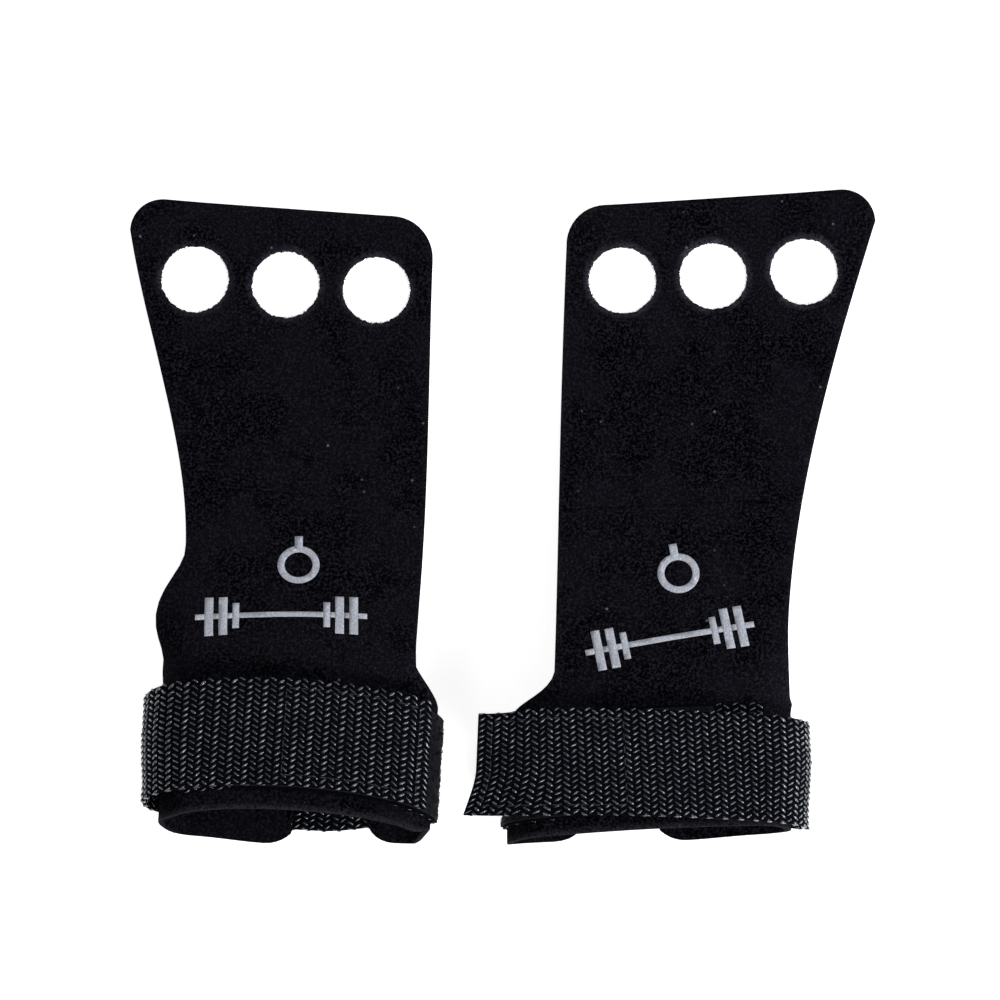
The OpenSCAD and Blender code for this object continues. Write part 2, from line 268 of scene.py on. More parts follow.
def rangeNode(tree, value, low, high, toLow=0.0, toHigh=1.0):
    node = addNode(tree, "ShaderNodeMapRange", interpolation_type="SMOOTHSTEP")
    tree.links.new(value, node.inputs["Value"])
    for key, number in zip(("From Min", "From Max", "To Min", "To Max"), (low, high, toLow, toHigh)):
        node.inputs[key].default_value = number
    return node.outputs["Result"]


def mixColour(tree, mask, a, b):
    node = addNode(tree, "ShaderNodeMix", data_type="RGBA")
    tree.links.new(mask, node.inputs[0])
    for index, value in ((6, a), (7, b)):
        if isinstance(value, tuple):
            node.inputs[index].default_value = (*value, 1)
        else:
            tree.links.new(value, node.inputs[index])
    return node.outputs[2]


# Soft clouds, a fine grain and rare specks, on the piece's own object coordinates.
def makeNapGroup():
    group, given, out = newGroup("fabricNap", {"grainScale": 1500.0, "cloudScale": 60.0},
                                 ("grain", "clouds", "specks"))
    place = addNode(group, "ShaderNodeTexCoord").outputs["Object"]
    grain = addNode(group, "ShaderNodeTexNoise", Detail=3.0, Roughness=0.65)
    clouds = addNode(group, "ShaderNodeTexNoise", Detail=2.0, Roughness=0.5)
    specks = addNode(group, "ShaderNodeTexVoronoi", Randomness=1.0)
    speckScale = mathNode(group, "MULTIPLY", given.outputs["grainScale"], 0.22)
    for node in (grain, clouds, specks):
        group.links.new(place, node.inputs["Vector"])
    group.links.new(given.outputs["grainScale"], grain.inputs["Scale"])
    group.links.new(given.outputs["cloudScale"], clouds.inputs["Scale"])
    group.links.new(speckScale, specks.inputs["Scale"])
    group.links.new(rangeNode(group, grain.outputs["Fac"], 0.42, 0.68), out.inputs["grain"])
    group.links.new(rangeNode(group, clouds.outputs["Fac"], 0.35, 0.65), out.inputs["clouds"])
    near = rangeNode(group, specks.outputs["Distance"], 0.16, 0.04)
    sparse = rangeNode(group, specks.outputs["Color"], 0.80, 0.84)
    group.links.new(mathNode(group, "MULTIPLY", near, sparse), out.inputs["specks"])
    return group


# A frayed border: a painted mask eaten into by noise. It lightens the cut edges and the pressed ring, partly
# as painted light.
def makeFrayGroup():
    group, given, out = newGroup("frayedBorder", {"border": 0.0, "scale": 900.0}, ("mask",))
    place = addNode(group, "ShaderNodeTexCoord").outputs["Object"]
    frays = addNode(group, "ShaderNodeTexNoise", Detail=2.0)
    group.links.new(place, frays.inputs["Vector"])
    group.links.new(given.outputs["scale"], frays.inputs["Scale"])
    eaten = mathNode(group, "MULTIPLY", rangeNode(group, frays.outputs["Fac"], 0.3, 0.62),
                     given.outputs["border"])
    group.links.new(eaten, out.inputs["mask"])
    return group


napGroup = makeNapGroup()
frayGroup = makeFrayGroup()


def placeGroup(tree, group, **values):
    node = addNode(tree, "ShaderNodeGroup", node_tree=group)
    for key, value in values.items():
        if isinstance(value, (int, float)):
            node.inputs[key].default_value = value
        else:
            tree.links.new(value, node.inputs[key])
    return node


def newMaterial(name, roughness, specular, **sockets):
    material = bpy.data.materials.new(name)
    material.use_nodes = True
    tree = material.node_tree
    shader = tree.nodes["Principled BSDF"]
    shader.inputs["Roughness"].default_value = roughness
    shader.inputs["Specular IOR Level"].default_value = specular
    for key, value in sockets.items():
        shader.inputs[key.replace("_", " ")].default_value = value
    return material, tree, shader


def bumpFrom(tree, shader, height, strength, distance):
    bump = addNode(tree, "ShaderNodeBump", Strength=strength, Distance=distance)
    tree.links.new(height, bump.inputs["Height"])
    tree.links.new(bump.outputs["Normal"], shader.inputs["Normal"])


# The pressed colour rings the holes: crushed nap, partly a painted sheen. The cut colour lightens the cut
# edges: fibrous edge, partly painted light on the lit edges.
suede = {"dark": (0.0002, 0.0002, 0.0006), "light": (0.0150, 0.0141, 0.0205),
         "clouded": (0.0105, 0.0099, 0.0145), "speck": (0.12, 0.12, 0.14),
         "cut": (0.026, 0.025, 0.031), "pressedSheen": (0.060, 0.056, 0.078), "grain": 1250.0, "cloud": 70.0}


def makeSuede():
    material, tree, shader = newMaterial("blackSuede", 0.95, 0.01)
    nap = placeGroup(tree, napGroup, grainScale=suede["grain"], cloudScale=suede["cloud"])
    rim = addNode(tree, "ShaderNodeAttribute", attribute_name="rim").outputs["Fac"]
    press = addNode(tree, "ShaderNodeAttribute", attribute_name="press").outputs["Fac"]
    colour = mixColour(tree, nap.outputs["grain"], suede["dark"], suede["light"])
    cloudy = mathNode(tree, "MULTIPLY", nap.outputs["clouds"], 0.35)
    colour = mixColour(tree, cloudy, colour, suede["clouded"])
    colour = mixColour(tree, nap.outputs["specks"], colour, suede["speck"])
    # The ring round the holes painted lighter: crushed nap, partly a painted sheen.
    pressedSheen = placeGroup(tree, frayGroup, border=press, scale=1300.0)
    colour = mixColour(tree, pressedSheen.outputs["mask"], colour, suede["pressedSheen"])
    # The cut edges painted lighter: fibrous edge, partly painted light on the lit edges.
    frayedLitRim = placeGroup(tree, frayGroup, border=rim, scale=1600.0)
    colour = mixColour(tree, frayedLitRim.outputs["mask"], colour, suede["cut"])
    tree.links.new(colour, shader.inputs["Base Color"])
    bumpFrom(tree, shader, nap.outputs["grain"], 0.7, 0.0003)
    return material


# The ground colour is the near-black of the webbing's core between the yarns: painted shade in the gaps.
yarn = {"dark": (0.0012, 0.0014, 0.0026), "light": (0.0080, 0.0092, 0.0145),
        "shadedGround": (0.0003, 0.0003, 0.0007)}


def makeYarn():
    material, tree, shader = newMaterial("wovenYarn", 0.2, 1.0, Specular_Tint=(0.74, 0.84, 1.0, 1),
                                         Coat_Roughness=0.26, Coat_IOR=1.75)
    nap = placeGroup(tree, napGroup, grainScale=2600.0, cloudScale=190.0)
    colour = mixColour(tree, nap.outputs["clouds"], yarn["dark"], yarn["light"])
    shade = mathNode(tree, "MULTIPLY", nap.outputs["grain"], 0.5)
    colour = mixColour(tree, shade, colour, yarn["shadedGround"])
    tree.links.new(colour, shader.inputs["Base Color"])
    tree.links.new(rangeNode(tree, nap.outputs["grain"], 0, 1, 0.15, 0.27), shader.inputs["Roughness"])
    sheen = rangeNode(tree, nap.outputs["clouds"], 0, 1, 0.12, 0.85)
    tree.links.new(sheen, shader.inputs["Coat Weight"])
    bumpFrom(tree, shader, nap.outputs["grain"], 0.35, 0.00012)
    return material


# The webbing's core under the yarns, painted near-black: painted shade between the raised yarns, with woven
# ribs.
def makeShadedWebGround():
    material, tree, shader = newMaterial("webbingShadedGround", 0.85, 0.02)
    flat = addNode(tree, "ShaderNodeTexCoord").outputs["UV"]
    ribs = addNode(tree, "ShaderNodeTexWave", wave_type="BANDS", bands_direction="Y",
                   Scale=17.3, Distortion=0.6)
    tree.links.new(flat, ribs.inputs["Vector"])
    nap = placeGroup(tree, napGroup, grainScale=2200.0, cloudScale=150.0)
    colour = mixColour(tree, ribs.outputs["Fac"], yarn["shadedGround"], yarn["dark"])
    colour = mixColour(tree, mathNode(tree, "MULTIPLY", nap.outputs["grain"], 0.4), colour, yarn["light"])
    tree.links.new(colour, shader.inputs["Base Color"])
    bumpFrom(tree, shader, ribs.outputs["Fac"], 0.6, 0.0004)
    return material


def makeFuzz(name, dark, light, roughness):
    material, tree, shader = newMaterial(name, roughness, 0.12)
    nap = placeGroup(tree, napGroup, grainScale=1800.0, cloudScale=160.0)
    tree.links.new(mixColour(tree, nap.outputs["grain"], dark, light), shader.inputs["Base Color"])
    bumpFrom(tree, shader, nap.outputs["grain"], 0.5, 0.0003)
    return material


def makeInk():
    material, tree, shader = newMaterial("silverInk", 0.62, 0.4)
    nap = placeGroup(tree, napGroup, grainScale=2300.0, cloudScale=220.0)
    colour = mixColour(tree, nap.outputs["grain"], (0.34, 0.36, 0.42), (0.66, 0.69, 0.77))
    colour = mixColour(tree, mathNode(tree, "MULTIPLY", nap.outputs["clouds"], 0.3), colour,
                       (0.42, 0.44, 0.50))
    colour = mixColour(tree, mathNode(tree, "MULTIPLY", nap.outputs["specks"], 0.7), colour,
                       (0.12, 0.12, 0.15))
    tree.links.new(colour, shader.inputs["Base Color"])
    bumpFrom(tree, shader, nap.outputs["grain"], 0.8, 0.0002)
    return material


suedeMaterial = makeSuede()
yarnMaterial = makeYarn()
shadedGroundMaterial = makeShadedWebGround()
loopMaterial = makeFuzz("loopPile", (0.0025, 0.0024, 0.0042), (0.013, 0.012, 0.019), 0.85)
hookMaterial = makeFuzz("hookPlastic", (0.004, 0.004, 0.005), (0.012, 0.012, 0.014), 0.45)
threadMaterial = makeFuzz("sewingThread", (0.010, 0.011, 0.016), (0.046, 0.050, 0.066), 0.5)
inkMaterial = makeInk()
print("materials ready")

leatherMesh = {"step": 2.1, "rimWidth": 0.7, "pressWidth": 2.7, "soft": 0.45, "pressDepth": 0.3,
               "holeSides": 150, "ragged": 0.32, "cutLine": 1.2}
# How the leather lies: its bends, and soft waves that die out at the cut line and the crease.
drape = {"creaseBend": 6, "foldBend": 10, "cutCalm": (0, 16), "creaseCalm": (0, 20), "cell": (34, 30),
         "wave": 0.5, "fingerWave": 0.6, "fingerStart": (0, 12), "cornerLift": 1.4, "nearTop": (-8, 30),
         "nearSide": (24, 26), "probe": 0.25, "uncurled": 0.001}


def curlAt(grip, u, v):
    start, length = grip["flaredCurl"] if u < 0 else grip["straightCurl"]
    return 1 - smooth((v - start) / length)


# Where a long edge of the leather lies on the flat cut, before the cuff is curled round.
def unroll(grip, x, y):
    beyond = abs(x) - halfGap
    curl = curlAt(grip, x, y)
    if beyond <= 0 or curl < drape["uncurled"]:
        return x
    radius = midR / curl
    return copysign(halfGap + radius * asin(min(beyond / radius, 1)), x)


# The height of a slope that starts at t = 0 with a rounded corner.
def corner(t, width):
    return 0 if t < -width else t if t > width else (t + width) ** 2 / (4 * width)


def palmHeight(grip, v):
    down = corner(v - creaseY, drape["creaseBend"]) - corner(v - grip["foldY"], drape["foldBend"])
    return frontZ - grip["slope"] * down


def leatherMiddle(grip, u, v):
    curl = curlAt(grip, u, v)
    beyond = abs(u) - halfGap
    x = u
    drop = 0
    if beyond > 0 and curl > drape["uncurled"]:
        radius = midR / curl
        angle = beyond / radius
        x = copysign(halfGap + radius * sin(angle), u)
        drop = radius * (1 - cos(angle))
        if angle > pi:
            x = copysign(halfGap - (beyond - pi * radius), u)
            drop = 2 * radius
    y = v - grip["lean"] * drop / cuffHeight
    z = palmHeight(grip, v) - drop
    calm = ramp(abs(v - grip["cut"]), drape["cutCalm"]) * ramp(v - creaseY, drape["creaseCalm"])
    wave = noise.noise(Vector((u / drape["cell"][0], v / drape["cell"][1], grip["seed"])))
    lift = drape["wave"] * wave
    if v > grip["foldY"]:
        nearTop = ramp(v - grip["rowY"], drape["nearTop"])
        nearSide = ramp(abs(u - grip["shift"]), drape["nearSide"])
        onFloor = drape["wave"] * (1 + wave) * drape["fingerWave"]
        lift = mix(lift, onFloor, ramp(v - grip["foldY"], drape["fingerStart"]))
        lift += drape["cornerLift"] * nearTop * nearSide
    return settle(grip, x, y, z + lift * calm)


def leatherPoint(grip, u, v, h):
    here = leatherMiddle(grip, u, v)
    d = drape["probe"]
    alongU = leatherMiddle(grip, u + d, v) - leatherMiddle(grip, u - d, v)
    alongV = leatherMiddle(grip, u, v + d) - leatherMiddle(grip, u, v - d)
    return here + alongU.cross(alongV).normalized() * h


def edgeX(x0, x3, pull, s):
    return mix(x0, x3, s) + 3 * s * (1 - s) * (pull[0] * (1 - s) + pull[1] * s)


def flaredEdge(grip, s):
    run = grip["topY"] + grip["flaredCorner"][2] - grip["flaredCorner"][0] - creaseY
    x = edgeX(-halfGap - midR, grip["flaredX"], grip["flaredPull"], s)
    if s * run < hand["bulgeHeight"]:
        x -= grip["bulge"] * sin(pi * s * run / hand["bulgeHeight"]) ** 2
    y = creaseY + s * run
    return unroll(grip, x, y), y


def straightEdge(grip, s):
    run = grip["topY"] + grip["straightCorner"][2] - grip["straightCorner"][0] - creaseY
    y = creaseY + s * run
    return unroll(grip, edgeX(grip["straightRoot"], grip["straightX"], grip["straightPull"], s), y), y


def arc(cx, cy, r, a0, a1, steps):
    angles = [radians(mix(a0, a1, i / steps)) for i in range(steps + 1)]
    return [(cx + r * cos(a), cy + r * sin(a)) for a in angles]


def bezier(p0, p1, p2, p3, steps):
    points = []
    for i in range(1, steps):
        t = i / steps
        weights = ((1 - t) ** 3, 3 * t * (1 - t) ** 2, 3 * t * t * (1 - t), t ** 3)
        points.append(tuple(sum(w * p[k] for w, p in zip(weights, (p0, p1, p2, p3))) for k in (0, 1)))
    return points


# The curves that join the hand's two long edges to the tops of the wings.
joins = {"leanShare": 0.7, "rise": 1.5, "straightReach": 16, "straightEase": 2.5, "flaredReach": 24,
         "flaredEase": 0.5, "flaredDrop": 4, "over": 1}


# The flat cut of the leather: the hand, and the two wings that wrap the wrist.
def leatherOutline(grip):
    low = grip["backY"] + grip["lean"] * frontZ / cuffHeight
    high = grip["backY"] + hand["wingHeight"] + grip["lean"] * joins["leanShare"] + joins["rise"]
    foldEnd = halfGap + pi * midR
    flaredEnd, straightEnd = -foldEnd - hand["flaredWing"], foldEnd + hand["straightWing"]
    r, flaredWingR = hand["wingCorner"], hand["flaredWingCorner"]
    flaredR, straightR = grip["flaredCorner"][0], grip["straightCorner"][0]
    flaredTop = grip["topY"] + grip["flaredCorner"][2]
    straightTop = grip["topY"] + grip["straightCorner"][2]
    outline = arc(flaredEnd + flaredWingR, low + flaredWingR, flaredWingR, 180, 270, 10)
    outline += arc(straightEnd - r, low + r, r, 270, 360, 7)
    outline += [(straightEnd, high)]
    s0 = (grip["flareTop"] - creaseY) / (straightTop - straightR - creaseY)
    root = straightEdge(grip, s0)
    wingTop = (foldEnd, high)
    outline += [wingTop] + bezier(wingTop, (halfGap + joins["straightReach"], high + joins["over"]),
                                  (root[0] + joins["straightEase"], root[1] - grip["flarePull"]), root, 12)
    outline += [straightEdge(grip, mix(s0, 1, i / 24)) for i in range(25)]
    outline += arc(grip["straightX"] - straightR, straightTop - straightR, straightR, 10, 90, 10)
    outline += arc(grip["flaredX"] + flaredR, flaredTop - flaredR, flaredR, 90, 170, 10)
    outline += [flaredEdge(grip, 1 - i / 40) for i in range(41)]
    root = outline[-1]
    wingTop = (-foldEnd, high)
    outline += bezier(root, (root[0] - joins["flaredEase"], root[1] - joins["flaredDrop"]),
                      (-halfGap - joins["flaredReach"], high + joins["over"]), wingTop, 8)
    outline += [wingTop, (flaredEnd, high)]
    return outline


def holeCentres(grip):
    return [(grip["shift"] + i * hand["holePitch"], grip["rowY"]) for i in (-1, 0, 1)]


def closedLoop(bm, points):
    verts = [bm.verts.new((x, y, 0)) for x, y in points]
    for a, b in zip(verts, verts[1:] + verts[:1]):
        bm.edges.new((a, b))


def raggedHole(grip, cx, cy):
    points = []
    for i in range(leatherMesh["holeSides"]):
        a = 2 * pi * i / leatherMesh["holeSides"]
        rag = noise.noise(Vector((cos(a) * 9, sin(a) * 9, cx + grip["seed"])))
        rag += 0.8 * noise.noise(Vector((cos(a) * 43, sin(a) * 43, cx)))
        r = hand["holeD"] / 2 + leatherMesh["ragged"] * rag
        points.append((cx + r * cos(a), cy + r * sin(a)))
    return points


# The leather laid flat: an outline with three holes, a ring of faces along every edge for the fuzzy cut,
# painted lighter partly as painted light on the lit edges, a wider one that is pressed down round the holes
# and painted lighter with a partly painted sheen, and an even grid of cuts.
def flatLeather(grip):
    bm = bmesh.new()
    rim = bm.verts.layers.float.new("rim")
    press = bm.verts.layers.float.new("press")
    closedLoop(bm, leatherOutline(grip))
    for cx, cy in holeCentres(grip):
        closedLoop(bm, raggedHole(grip, cx, cy))
    bmesh.ops.triangle_fill(bm, use_beauty=True, use_dissolve=False, edges=bm.edges[:])
    bmesh.ops.recalc_face_normals(bm, faces=bm.faces)
    if bm.faces[:][0].normal.z < 0:
        bmesh.ops.reverse_faces(bm, faces=bm.faces)
    holeR = hand["holeD"] / 2
    for width in (leatherMesh["rimWidth"], leatherMesh["pressWidth"] - leatherMesh["rimWidth"]):
        inner = [f for f in bm.faces if not f.tag]
        made = bmesh.ops.inset_region(bm, faces=inner, thickness=width, use_boundary=True,
                                      use_even_offset=True)
        for face in made["faces"]:
            face.tag = True
    # Lighter cut edges, strongest round the cuff (fibrous edge, partly painted light on the lit edges), and
    # the pressed ring round the holes (crushed nap, partly a painted sheen).
    for vert in bm.verts:
        vert[rim] = (1 if vert.co.y < creaseY - 4 else grip["rimFrayAndLight"]) if vert.is_boundary else 0
        away = min(hypot(vert.co.x - cx, vert.co.y - cy) for cx, cy in holeCentres(grip)) - holeR
        patch = 0.6 + 0.9 * noise.noise(Vector((vert.co.x / 6, vert.co.y / 6, grip["seed"])))
        near = away < leatherMesh["rimWidth"] + 0.6
        vert[press] = max(patch, 0.1) * grip["ringPressAndSheen"] if near else 0
    step = leatherMesh["step"]
    for axis in (0, 1):
        values = [v.co[axis] for v in bm.verts]
        cuts = [min(values) + step * (i + 0.5) for i in range(int((max(values) - min(values)) / step))]
        if axis:
            cuts = [y for y in cuts if abs(y - grip["cut"]) > 0.6] + [grip["cut"]]
        normal = (1, 0, 0) if axis == 0 else (0, 1, 0)
        for value in cuts:
            point = (value, 0, 0) if axis == 0 else (0, value, 0)
            bmesh.ops.bisect_plane(bm, geom=bm.verts[:] + bm.edges[:] + bm.faces[:], dist=0.02,
                                   plane_co=point, plane_no=normal)
    bmesh.ops.remove_doubles(bm, verts=bm.verts, dist=0.03)
    return bm


def makeLeather(grip, part):
    bm = flatLeather(grip)
    press = bm.verts.layers.float["press"]
    if part == "hand":
        gone = [f for f in bm.faces if f.calc_center_median().y < grip["cut"]]
    else:
        gone = [f for f in bm.faces if f.calc_center_median().y > grip["cut"]]
    bmesh.ops.delete(bm, geom=gone, context="FACES")
    area = sum(f.calc_area() for f in bm.faces) * mm * mm
    width = max(v.co.x for v in bm.verts) - min(v.co.x for v in bm.verts)
    length = max(v.co.y for v in bm.verts) - min(v.co.y for v in bm.verts)
    storeFlat(bm)
    lower = bm.verts[:]
    made = bmesh.ops.extrude_face_region(bm, geom=bm.faces[:])
    upper = [v for v in made["geom"] if isinstance(v, bmesh.types.BMVert)]
    half = cuff["leather"] / 2
    rim = bm.verts.layers.float["rim"]
    for vert in lower:
        vert[rim] = 0
    for vert in upper:
        vert.co = leatherPoint(grip, vert.co.x, vert.co.y, half - leatherMesh["pressDepth"] * vert[press])
    for vert in lower:
        vert.co = leatherPoint(grip, vert.co.x, vert.co.y, -half)
    cutY = grip["cut"]
    softenRims(bm, leatherMesh["soft"], 2,
               keep=lambda e: all(abs(v.co.y - cutY) < leatherMesh["cutLine"] for v in e.verts))
    piece = finishPiece(grip, grip["side"] + "_" + part + "_suede", bm, suedeMaterial)
    return piece, (width * mm, length * mm), area


def lineRun(x0, z0, x1, z1):
    length = hypot(x1 - x0, z1 - z0)
    dx, dz = (x1 - x0) / length, (z1 - z0) / length
    return length, lambda d: (x0 + dx * d, z0 + dz * d, -dz, dx)


def arcRun(cx, cz, r, a0, a1):
    length = r * radians(abs(a1 - a0))

    def at(d):
        a = radians(mix(a0, a1, d / length))
        return cx + r * cos(a), cz + r * sin(a), cos(a), sin(a)
    return length, at


def bandRuns():
    foldR = cuff["foldR"] + bandT
    return [lineRun(strap["bandStart"], midZ + foldR, halfGap, midZ + foldR),
            arcRun(halfGap, midZ, foldR, 90, -90),
            lineRun(halfGap, midZ - foldR, -halfGap, midZ - foldR),
            arcRun(-halfGap, hingeZ, foldR + stepOut, 270, 180)]


def tailRuns(grip):
    foldR = cuff["foldR"] + tailT
    z = midZ + foldR
    runs = [arcRun(-halfGap - stepOut, hingeZ, foldR - stepOut, 180, 90)]
    if grip["tailWraps"]:
        end = 90 - asin((grip["tailEnd"] - halfGap) / foldR) * 180 / pi
        runs += [lineRun(-halfGap - stepOut, z, halfGap, z), arcRun(halfGap, midZ, foldR, 90, end)]
    else:
        runs += [lineRun(-halfGap - stepOut, z, grip["tailEnd"], z)]
    return runs


def runLength(runs):
    return sum(run[0] for run in runs)


def walk(runs, s):
    for length, at in runs[:-1]:
        if s < length:
            return at(s)
        s -= length
    return runs[-1][1](s)


# Where the tail's free end is pinched, cut askew or sagging, and the faint waves of the webbing.
sag = {"pinch": (30, 22), "skew": (20, 30), "end": (34, 24), "endDrop": 1.6, "middle": 1, "wave": 0.25,
       "cell": 16}


# A point of a strap's layer: s along it, v across its width and h out of its middle.
def strapPoint(grip, runs, s, v, h, isTail):
    x, z, nx, nz = walk(runs, s)
    x, z = x + nx * h, z + nz * h
    y = v - grip["lean"] * (1 - z / cuffHeight) + grip["strapShift"]
    hingeShift = grip["tailSlope"] * (hingeX - grip["tailPivot"])
    if isTail:
        y += grip["tailSlope"] * (x - grip["tailPivot"])
        side = v - sag["middle"]
        y -= grip["tailDrop"] + grip["tailPinch"] * ramp(x, sag["pinch"]) * (0.5 + side / strap["width"])
        x -= grip["endSkew"] * side * ramp(x, sag["skew"])
        if not grip["tailWraps"]:
            z -= sag["endDrop"] * ramp(x, sag["end"])
    elif x < -halfGap and z < hingeZ + 1:
        y += hingeShift * smooth((-halfGap - x) / (-halfGap - hingeX))
    cell = Vector((x / sag["cell"], y / sag["cell"], grip["seed"] + 5 * isTail))
    z += sag["wave"] * noise.noise(cell)
    return settle(grip, x, y, z)


webbing = {"core": 0.9, "columnPitch": 2.27, "rowPitch": 1.78, "slant": 34, "yarnLength": 2.25,
           "yarnWidth": 0.86, "yarnHeight": 0.48, "sides": 8, "rings": 5, "sunk": 0.8, "selvage": 0.3}


def middleV(v):
    return v + strap["front"] + strap["width"] / 2


# A flat strip from s0 to s1, h0 to h1 thick, bent on a path.
def stripPiece(grip, name, runs, s0, s1, width, h0, h1, isTail, material, soft):
    bm = bmesh.new()
    bmesh.ops.create_grid(bm, x_segments=int((s1 - s0) / 1.5), y_segments=14, size=0.5,
                          matrix=Matrix.Diagonal((s1 - s0, width, 1, 1)))
    bmesh.ops.translate(bm, verts=bm.verts, vec=((s0 + s1) / 2, middleV(0), h0))
    storeFlat(bm)
    made = bmesh.ops.extrude_face_region(bm, geom=bm.faces[:])
    upper = [v for v in made["geom"] if isinstance(v, bmesh.types.BMVert)]
    bmesh.ops.translate(bm, verts=upper, vec=(0, 0, h1 - h0))
    softenRims(bm, soft, 2)
    bendOn(bm, lambda s, v, h: strapPoint(grip, runs, s, v, h, isTail))
    return finishPiece(grip, name, bm, material)


# Yarns turn back at the edges of the webbing rather than standing out of it.
def tuckIn(value, low, high):
    inside = min(max(value, low), high)
    return inside + 0.12 * (value - inside)


# The yarns that show on a face of the webbing: columns that slant in turn to either side.
def yarnPiece(grip, name, runs, spans, isTail):
    bm = bmesh.new()
    for column, slant, full in ((0, 1, 1), (1, -1, webbing["sunk"])):
        size = Matrix.Diagonal((webbing["yarnLength"], webbing["yarnWidth"] * full,
                                2 * webbing["yarnHeight"] * full, 1))
        place = Matrix.Translation((column * webbing["columnPitch"], column * webbing["rowPitch"] / 2, 0))
        tilt = Matrix.Rotation(radians(slant * webbing["slant"]), 4, "Z")
        bmesh.ops.create_uvsphere(bm, u_segments=webbing["sides"], v_segments=webbing["rings"], radius=0.5,
                                  matrix=place @ tilt @ size @ Matrix.Rotation(pi / 2, 4, "Y"))
    unit = meshOf(bm, name + "Unit")
    rows = int(strap["width"] / webbing["rowPitch"]) + 1
    low = middleV(0) - (rows - 0.5) * webbing["rowPitch"] / 2
    bm = bmesh.new()
    for s0, s1, face in spans:
        pairs = int((s1 - s0) / (2 * webbing["columnPitch"]) + 0.4)
        pitch = (s1 - s0) / pairs
        holder = bpy.data.objects.new(name + "Array", unit)
        bpy.context.scene.collection.objects.link(holder)
        for count, offset in ((rows, (0, webbing["rowPitch"], 0)), (pairs, (pitch, 0, 0))):
            array = holder.modifiers.new("array", "ARRAY")
            array.count = count
            array.use_relative_offset = False
            array.use_constant_offset = True
            array.constant_offset_displace = offset
        graph = bpy.context.evaluated_depsgraph_get()
        field = bpy.data.meshes.new_from_object(holder.evaluated_get(graph))
        bpy.data.objects.remove(holder)
        flip = Matrix.Diagonal((1, 1, face, 1))
        field.transform(Matrix.Translation((s0 + pitch / 4, low, face * webbing["core"] * 0.42)) @ flip)
        if face < 0:
            field.flip_normals()
        bm.from_mesh(field)
        bpy.data.meshes.remove(field)
    bpy.data.meshes.remove(unit)

    end = runLength(runs)

    def place(s, v, h):
        wobble = noise.noise(Vector((s / 2.6, v / 2.2, grip["seed"])))
        s = tuckIn(s + 0.22 * wobble, 0.2, end - 0.2)
        v = tuckIn(v + 0.16 * wobble, middleV(-strap["width"] / 2 + 0.2), middleV(strap["width"] / 2 - 0.2))
        return strapPoint(grip, runs, s, v, h * (1 + 0.25 * wobble), isTail)
    bendOn(bm, place)
    return finishPiece(grip, name, bm, yarnMaterial)


pile = {"loops": 1500, "loopR": 0.42, "loopWire": 0.11, "hookPitch": 1.7, "hookHeight": 0.55}


def loopPiece(grip, name, runs, s0, s1, base):
    bm = bmesh.new()
    upright = Matrix.Translation((pile["loopR"], 0, 0)) @ Matrix.Rotation(pi / 2, 4, "X")
    bmesh.ops.create_circle(bm, segments=4, radius=pile["loopWire"], matrix=upright)
    ring = bm.edges[:]
    bmesh.ops.spin(bm, geom=ring, cent=(0, 0, 0), axis=(0, 1, 0), angle=-pi, steps=5, use_merge=False)
    bmesh.ops.holes_fill(bm, edges=bm.edges, sides=4)
    bmesh.ops.recalc_face_normals(bm, faces=bm.faces)
    unit = meshOf(bm, name + "Unit")
    rng = random.Random(grip["seed"])
    width = strap["width"] - 2 * strap["tapeEdge"]
    matrices = []
    for _ in range(pile["loops"]):
        s = rng.uniform(s0 + 0.4, s1 - 0.4)
        place = Vector((s, middleV(rng.uniform(-0.49, 0.49) * width), base - 0.1))
        lean = Matrix.Rotation(rng.gauss(0, 0.5), 4, "X")
        turn = Matrix.Rotation(rng.uniform(0, 2 * pi), 4, "Z")
        matrices.append(Matrix.Translation(place) @ turn @ lean @ Matrix.Scale(rng.uniform(0.7, 1.25), 4))
    bm = scatter(unit, matrices)
    bpy.data.meshes.remove(unit)
    bendOn(bm, lambda s, v, h: strapPoint(grip, runs, s, v, h, False))
    return finishPiece(grip, name, bm, loopMaterial)


def hookPiece(grip, name, runs, s0, s1, base):
    bm = bmesh.new()
    height = pile["hookHeight"]
    bmesh.ops.create_cone(bm, cap_ends=True, segments=5, radius1=0.16, radius2=0.12, depth=height,
                          matrix=Matrix.Translation((0, 0, height / 2)))
    cap = Matrix.Translation((0.12, 0, height)) @ Matrix.Diagonal((1.2, 0.8, 0.5, 1))
    bmesh.ops.create_uvsphere(bm, u_segments=6, v_segments=4, radius=0.3, matrix=cap)
    unit = meshOf(bm, name + "Unit")
    width = strap["width"] - 2 * strap["tapeEdge"]
    rows = int(width / pile["hookPitch"]) - 1
    columns = int((s1 - s0) / pile["hookPitch"]) - 1
    matrices = []
    for i in range(columns):
        for j in range(rows):
            s = s0 + pile["hookPitch"] * (i + 1 + (j % 2) * 0.5)
            v = middleV((j - (rows - 1) / 2) * pile["hookPitch"])
            down = Matrix.Rotation(pi, 4, "X") @ Matrix.Rotation(pi * (i % 2), 4, "Z")
            matrices.append(Matrix.Translation((s, v, base)) @ down)
    bm = scatter(unit, matrices)
    bpy.data.meshes.remove(unit)
    bendOn(bm, lambda s, v, h: strapPoint(grip, runs, s, v, h, True))
    return finishPiece(grip, name, bm, hookMaterial)


stitch = {"length": 2.4, "pitch": 3.4, "thread": 0.42, "inset": 3.2}


